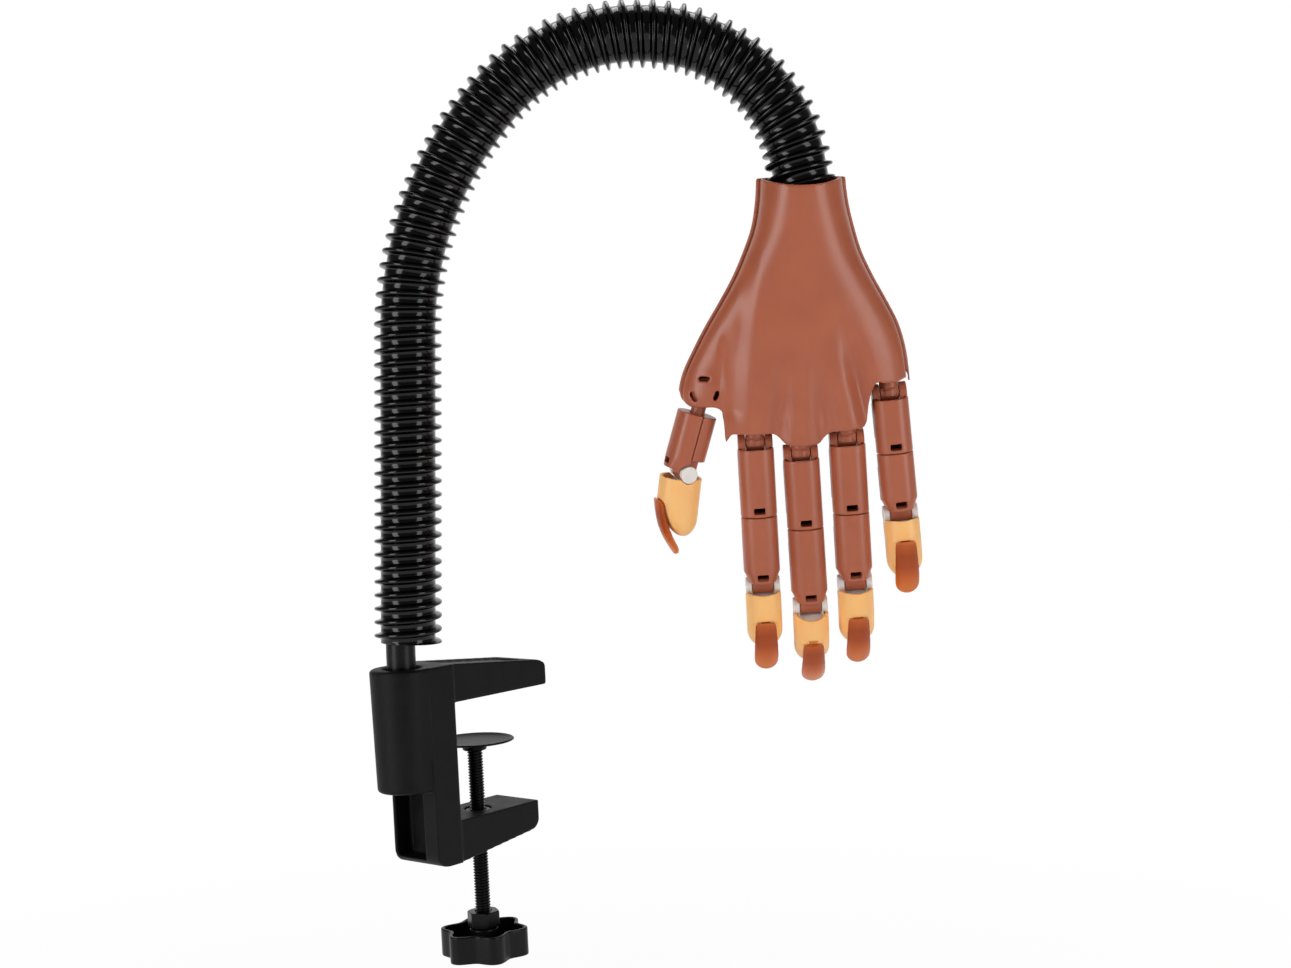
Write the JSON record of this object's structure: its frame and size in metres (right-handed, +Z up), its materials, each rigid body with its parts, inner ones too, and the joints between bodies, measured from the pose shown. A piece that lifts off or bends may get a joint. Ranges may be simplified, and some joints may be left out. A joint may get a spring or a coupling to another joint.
{
  "type": "nail practice hand",
  "caption": "Jointed plastic practice hand with removable nail tips, hanging from a ribbed flexible arm that a screw clamp fastens to a table edge.",
  "frame": {"origin": "on the upper jaw's gripping face, on the axis of the clamp screw: the table top lies in z = 0", "axes": "+Z up along the clamp screw, +X the way the jaws point, over the table"},
  "size_m": [0.1767, 0.1777, 0.4007],
  "materials": {
    "clamp_plastic": "moulded black nylon, satin",
    "knob_plastic": "moulded black plastic, satin",
    "sleeve_plastic": "glossy black ribbed sleeve",
    "blacked_steel": "blacked steel",
    "bright_steel": "zinc plated",
    "skin_plastic": "moulded brown plastic, satin",
    "tip_plastic": "soft moulded tip, satin",
    "white_plastic": "moulded white plastic",
    "nail_plastic": "glossy see-through brown nail"
  },
  "bodies": {
    "clamp": {"clamp_body": "clamp_plastic", "thread_insert": "blacked_steel"},
    "pad": {"pressure_pad": "bright_steel"},
    "screw": {"clamp_screw": "blacked_steel", "jam_nut": "blacked_steel", "star_knob": "knob_plastic"},
    "post": {"core_lower": "blacked_steel", "sleeve_lower": "sleeve_plastic"},
    "arm_a": {"core_a": "blacked_steel", "sleeve_a": "sleeve_plastic"},
    "arm_b": {"core_b": "blacked_steel", "sleeve_b": "sleeve_plastic"},
    "arm_c": {"core_c": "blacked_steel", "sleeve_c": "sleeve_plastic", "end_collar": "bright_steel"},
    "hand": {"back_shell": "skin_plastic", "palm_shell": "skin_plastic", "wrist_bulkhead": "skin_plastic", "shell_screw_1": "bright_steel", "shell_screw_2": "bright_steel", "shell_screw_3": "bright_steel"},
    "index_knuckle_body": {"index_knuckle": "skin_plastic"},
    "index_first": {"index_first_body": "skin_plastic", "index_first_cover": "skin_plastic"},
    "index_second": {"index_second_body": "skin_plastic", "index_second_cover": "skin_plastic"},
    "index_tip": {"index_tip_insert": "white_plastic", "index_tip_cap": "tip_plastic", "index_nail": "nail_plastic"},
    "middle_knuckle_body": {"middle_knuckle": "skin_plastic"},
    "middle_first": {"middle_first_body": "skin_plastic", "middle_first_cover": "skin_plastic"},
    "middle_second": {"middle_second_body": "skin_plastic", "middle_second_cover": "skin_plastic"},
    "middle_tip": {"middle_tip_insert": "white_plastic", "middle_tip_cap": "tip_plastic", "middle_nail": "nail_plastic"},
    "ring_knuckle_body": {"ring_knuckle": "skin_plastic"},
    "ring_first": {"ring_first_body": "skin_plastic", "ring_first_cover": "skin_plastic"},
    "ring_second": {"ring_second_body": "skin_plastic", "ring_second_cover": "skin_plastic"},
    "ring_tip": {"ring_tip_insert": "white_plastic", "ring_tip_cap": "tip_plastic", "ring_nail": "nail_plastic"},
    "little_knuckle_body": {"little_knuckle": "skin_plastic"},
    "little_first": {"little_first_body": "skin_plastic", "little_first_cover": "skin_plastic"},
    "little_second": {"little_second_body": "skin_plastic", "little_second_cover": "skin_plastic"},
    "little_tip": {"little_tip_insert": "white_plastic", "little_tip_cap": "tip_plastic", "little_nail": "nail_plastic"},
    "thumb_knuckle_body": {"thumb_knuckle": "skin_plastic"},
    "thumb_segment": {"thumb_body": "skin_plastic", "thumb_cover": "skin_plastic"},
    "thumb_tip": {"thumb_tip_insert": "white_plastic", "thumb_tip_cap": "tip_plastic", "thumb_nail": "nail_plastic"}
  },
  "joints": [
    {"name": "pad_travel", "type": "slide", "parent": "clamp", "child": "pad", "axis": [0, 0, 1], "range_m": [-0.025, 0.019]},
    {"name": "screw_turn", "type": "hinge", "parent": "pad", "child": "screw", "pos_m": [0, 0, -0.06], "axis": [0, 0, 1], "range_deg": [-7201, 5473]},
    {"name": "post_swivel", "type": "hinge", "parent": "clamp", "child": "post", "pos_m": [-0.04, 0, 0], "axis": [0, 0, 1], "continuous": true},
    {"name": "bend_lower", "type": "hinge", "parent": "post", "child": "arm_a", "pos_m": [-0.03564, -0.00519, 0.1565], "axis": [0.766, 0.6428, 0], "range_deg": [-10, 10]},
    {"name": "bend_middle", "type": "hinge", "parent": "arm_a", "child": "arm_b", "pos_m": [-0.00802, -0.03811, 0.25301], "axis": [0.766, 0.6428, 0], "range_deg": [-10, 10]},
    {"name": "bend_upper", "type": "hinge", "parent": "arm_b", "child": "arm_c", "pos_m": [0.04427, -0.10043, 0.2733], "axis": [0.766, 0.6428, 0], "range_deg": [-10, 10]},
    {"name": "wrist_turn", "type": "hinge", "parent": "arm_c", "child": "hand", "pos_m": [0.07275, -0.13437, 0.21123], "axis": [0.0895, -0.1066, -0.9903], "range_deg": [-90, 90]},
    {"name": "index_twist", "type": "hinge", "parent": "hand", "child": "index_knuckle_body", "pos_m": [0.06959, -0.10687, 0.10269], "axis": [-0.1167, -0.0774, 0.9901], "range_deg": [-8, 8]},
    {"name": "index_knuckle_hinge", "type": "hinge", "parent": "index_knuckle_body", "child": "index_first", "pos_m": [0.07035, -0.10623, 0.10283], "axis": [0.641, -0.7674, 0.0156], "range_deg": [-10, 80]},
    {"name": "index_middle_hinge", "type": "hinge", "parent": "index_first", "child": "index_second", "pos_m": [0.074, -0.10381, 0.07184], "axis": [0.641, -0.7674, 0.0156], "range_deg": [0, 75]},
    {"name": "index_tip_hinge", "type": "hinge", "parent": "index_second", "child": "index_tip", "pos_m": [0.07759, -0.10143, 0.04134], "axis": [0.641, -0.7674, 0.0156], "range_deg": [-13, 42]},
    {"name": "middle_twist", "type": "hinge", "parent": "hand", "child": "middle_knuckle_body", "pos_m": [0.08244, -0.12099, 0.09721], "axis": [-0.1256, -0.0667, 0.9898], "range_deg": [-8, 8]},
    {"name": "middle_knuckle_hinge", "type": "hinge", "parent": "middle_knuckle_body", "child": "middle_first", "pos_m": [0.0832, -0.12035, 0.09735], "axis": [0.6393, -0.7684, 0.0294], "range_deg": [-10, 80]},
    {"name": "middle_middle_hinge", "type": "hinge", "parent": "middle_first", "child": "middle_second", "pos_m": [0.08721, -0.11823, 0.06577], "axis": [0.6393, -0.7684, 0.0294], "range_deg": [0, 75]},
    {"name": "middle_tip_hinge", "type": "hinge", "parent": "middle_second", "child": "middle_tip", "pos_m": [0.09153, -0.11593, 0.03172], "axis": [0.6393, -0.7684, 0.0294], "range_deg": [-25, 30]},
    {"name": "ring_twist", "type": "hinge", "parent": "hand", "child": "ring_knuckle_body", "pos_m": [0.09449, -0.13651, 0.10251], "axis": [-0.1245, -0.068, 0.9899], "range_deg": [-8, 8]},
    {"name": "ring_knuckle_hinge", "type": "hinge", "parent": "ring_knuckle_body", "child": "ring_first", "pos_m": [0.09525, -0.13587, 0.10265], "axis": [0.6396, -0.7682, 0.0276], "range_deg": [-10, 80]},
    {"name": "ring_middle_hinge", "type": "hinge", "parent": "ring_first", "child": "ring_second", "pos_m": [0.09918, -0.13372, 0.07137], "axis": [0.6396, -0.7682, 0.0276], "range_deg": [0, 75]},
    {"name": "ring_tip_hinge", "type": "hinge", "parent": "ring_second", "child": "ring_tip", "pos_m": [0.10304, -0.13161, 0.04069], "axis": [0.6396, -0.7682, 0.0276], "range_deg": [-16, 39]},
    {"name": "little_twist", "type": "hinge", "parent": "hand", "child": "little_knuckle_body", "pos_m": [0.10434, -0.15229, 0.12102], "axis": [-0.1501, -0.0371, 0.988], "range_deg": [-8, 8]},
    {"name": "little_knuckle_hinge", "type": "hinge", "parent": "little_knuckle_body", "child": "little_first", "pos_m": [0.1051, -0.15166, 0.12116], "axis": [0.634, -0.7704, 0.0674], "range_deg": [-10, 80]},
    {"name": "little_middle_hinge", "type": "hinge", "parent": "little_first", "child": "little_second", "pos_m": [0.1089, -0.15072, 0.09616], "axis": [0.634, -0.7704, 0.0674], "range_deg": [0, 75]},
    {"name": "little_tip_hinge", "type": "hinge", "parent": "little_second", "child": "little_tip", "pos_m": [0.11292, -0.14972, 0.06968], "axis": [0.634, -0.7704, 0.0674], "range_deg": [-7, 48]},
    {"name": "thumb_swing", "type": "hinge", "parent": "hand", "child": "thumb_knuckle_body", "pos_m": [0.05378, -0.09316, 0.12613], "axis": [0.7586, 0.6365, 0.1392], "range_deg": [-8, 20]},
    {"name": "thumb_twist", "type": "hinge", "parent": "thumb_knuckle_body", "child": "thumb_segment", "pos_m": [0.05378, -0.09316, 0.12613], "axis": [0.0927, -0.3169, 0.9439], "range_deg": [-30, 30]},
    {"name": "thumb_tip_hinge", "type": "hinge", "parent": "thumb_segment", "child": "thumb_tip", "pos_m": [0.0513, -0.08216, 0.09183], "axis": [-0.4923, -0.8386, -0.2332], "range_deg": [-19, 36]}
  ],
  "couplings": [
    {"joint": "screw_turn", "follows": "pad_travel", "rad_per_m": 5026.5}
  ]
}
